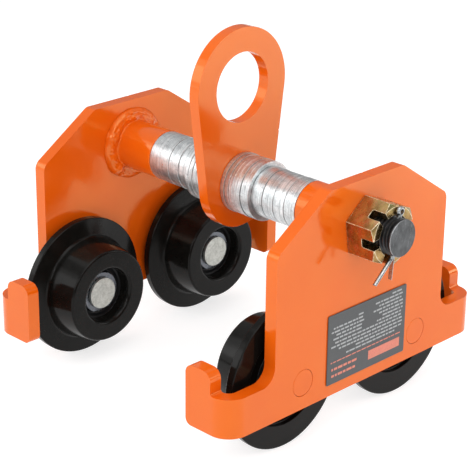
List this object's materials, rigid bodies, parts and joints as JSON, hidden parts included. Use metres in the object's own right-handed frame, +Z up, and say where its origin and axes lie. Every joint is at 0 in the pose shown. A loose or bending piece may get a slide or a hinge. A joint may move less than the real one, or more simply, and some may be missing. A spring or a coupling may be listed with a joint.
{
  "type": "beam trolley",
  "caption": "Push beam trolley: folded side plates with flanged wheels, joined by a shaft that carries a swinging lifting eye between washers.",
  "frame": {"origin": "on the floor under the wheel flanges, at the middle of the part's box", "axes": "+X along the beam, +Y along the load shaft away from the nut, +Z up towards the lifting eye"},
  "size_m": [0.263, 0.286, 0.2686],
  "materials": {
    "orange_paint": "gloss powder coat",
    "wheel_black": "gloss black paint on turned steel",
    "zinc": "bright zinc plate with turning marks",
    "bearing_steel": "dark hardened steel",
    "bearing_seal": "matt black seal over a steel outer ring",
    "yellow_zinc": "yellow passivated zinc on steel",
    "black_oxide": "black oxide",
    "label_grey": "printed foil plate"
  },
  "bodies": {
    "frame": {"side_plate_near": "orange_paint", "sleeve_near": "orange_paint", "spacer_near_1": "zinc", "spacer_near_2": "zinc", "spacer_near_3": "zinc", "spacer_near_4": "zinc", "washer_near_1": "zinc", "washer_near_2": "zinc", "washer_near_3": "zinc", "washer_near_4": "zinc", "washer_near_5": "zinc", "washer_near_6": "zinc", "washer_near_7": "zinc", "axle_near_left": "zinc", "bearing_inner_near_left": "bearing_steel", "axle_ring_near_left": "bearing_steel", "axle_near_right": "zinc", "bearing_inner_near_right": "bearing_steel", "axle_ring_near_right": "bearing_steel", "side_plate_far": "orange_paint", "sleeve_far": "orange_paint", "spacer_far_1": "zinc", "spacer_far_2": "zinc", "spacer_far_3": "zinc", "spacer_far_4": "zinc", "washer_far_1": "zinc", "washer_far_2": "zinc", "washer_far_3": "zinc", "washer_far_4": "zinc", "washer_far_5": "zinc", "washer_far_6": "zinc", "washer_far_7": "zinc", "axle_far_left": "zinc", "bearing_inner_far_left": "bearing_steel", "axle_ring_far_left": "bearing_steel", "axle_far_right": "zinc", "bearing_inner_far_right": "bearing_steel", "axle_ring_far_right": "bearing_steel", "load_shaft": "black_oxide", "castle_nut": "yellow_zinc", "cotter_pin": "zinc", "data_label": "label_grey"},
    "roller_near_left": {"wheel_near_left": "wheel_black", "bearing_outer_near_left": "bearing_seal", "bore_ring_near_left": "bearing_steel"},
    "roller_near_right": {"wheel_near_right": "wheel_black", "bearing_outer_near_right": "bearing_seal", "bore_ring_near_right": "bearing_steel"},
    "roller_far_left": {"wheel_far_left": "wheel_black", "bearing_outer_far_left": "bearing_seal", "bore_ring_far_left": "bearing_steel"},
    "roller_far_right": {"wheel_far_right": "wheel_black", "bearing_outer_far_right": "bearing_seal", "bore_ring_far_right": "bearing_steel"},
    "eye": {"eye_plate": "orange_paint"}
  },
  "joints": [
    {"name": "spin_near_left", "type": "hinge", "parent": "frame", "child": "roller_near_left", "pos_m": [-0.06, -0.0789, 0.054], "axis": [0, 1, 0], "continuous": true},
    {"name": "spin_near_right", "type": "hinge", "parent": "frame", "child": "roller_near_right", "pos_m": [0.06, -0.0789, 0.054], "axis": [0, 1, 0], "continuous": true},
    {"name": "spin_far_left", "type": "hinge", "parent": "frame", "child": "roller_far_left", "pos_m": [-0.06, 0.1069, 0.054], "axis": [0, 1, 0], "continuous": true},
    {"name": "spin_far_right", "type": "hinge", "parent": "frame", "child": "roller_far_right", "pos_m": [0.06, 0.1069, 0.054], "axis": [0, 1, 0], "continuous": true},
    {"name": "eye_swing", "type": "hinge", "parent": "frame", "child": "eye", "pos_m": [0, 0.014, 0.153], "axis": [0, 1, 0], "continuous": true}
  ]
}
